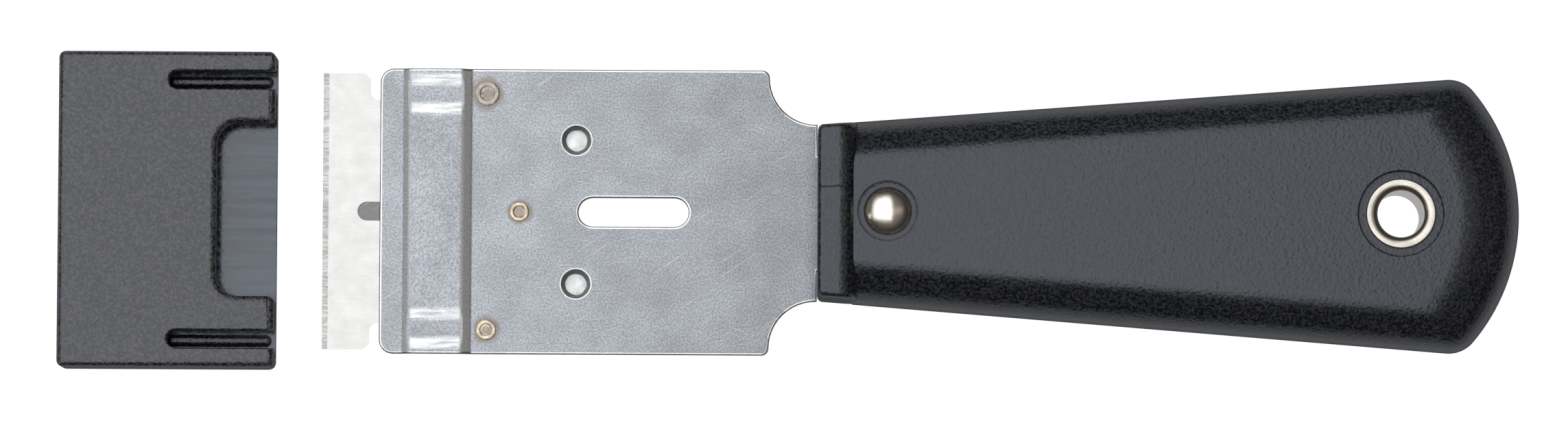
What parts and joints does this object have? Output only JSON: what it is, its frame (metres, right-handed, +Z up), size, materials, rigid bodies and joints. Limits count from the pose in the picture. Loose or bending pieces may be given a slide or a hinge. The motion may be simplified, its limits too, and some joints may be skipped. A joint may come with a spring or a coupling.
{
  "type": "razor blade scraper",
  "caption": "Razor blade scraper with a tapered riveted handle, a sheet-steel head that holds a single-edge blade, and a push-on plastic blade guard.",
  "frame": {"origin": "under the middle of the whole object's box, guard included, on the plane that the collar's back rests on", "axes": "+X along the tool from the guard to the handle's tail, +Y across the blade, +Z up out of the handle's front face"},
  "size_m": [0.2009, 0.0436, 0.0155],
  "materials": {
    "handle": "fine moulded grain, satin",
    "guard": "fine moulded grain, satin",
    "rivet": "polished nickel plate",
    "eyelet": "satin nickel plate",
    "holder_sheet": "zinc-bright rolled sheet with scuffs",
    "blade_steel": "bright rolled strip with a ground edge",
    "blade_spine": "folded strip"
  },
  "bodies": {
    "tool": {"handle_front": "handle", "handle_back": "handle", "rivet_post": "rivet", "rivet_barrel": "rivet", "hang_eyelet": "eyelet", "blade_holder": "holder_sheet", "backing_plate": "holder_sheet"},
    "blade": {"razor_blade": "blade_steel", "blade_spine": "blade_spine"},
    "guard": {"blade_guard": "guard"}
  },
  "joints": [
    {"name": "blade_slide", "type": "slide", "parent": "tool", "child": "blade", "axis": [0, 1, 0], "range_m": [-0.0425, 0.0425]},
    {"name": "guard_slide", "type": "slide", "parent": "tool", "child": "guard", "axis": [1, 0, 0], "range_m": [0, 0.0342]}
  ]
}
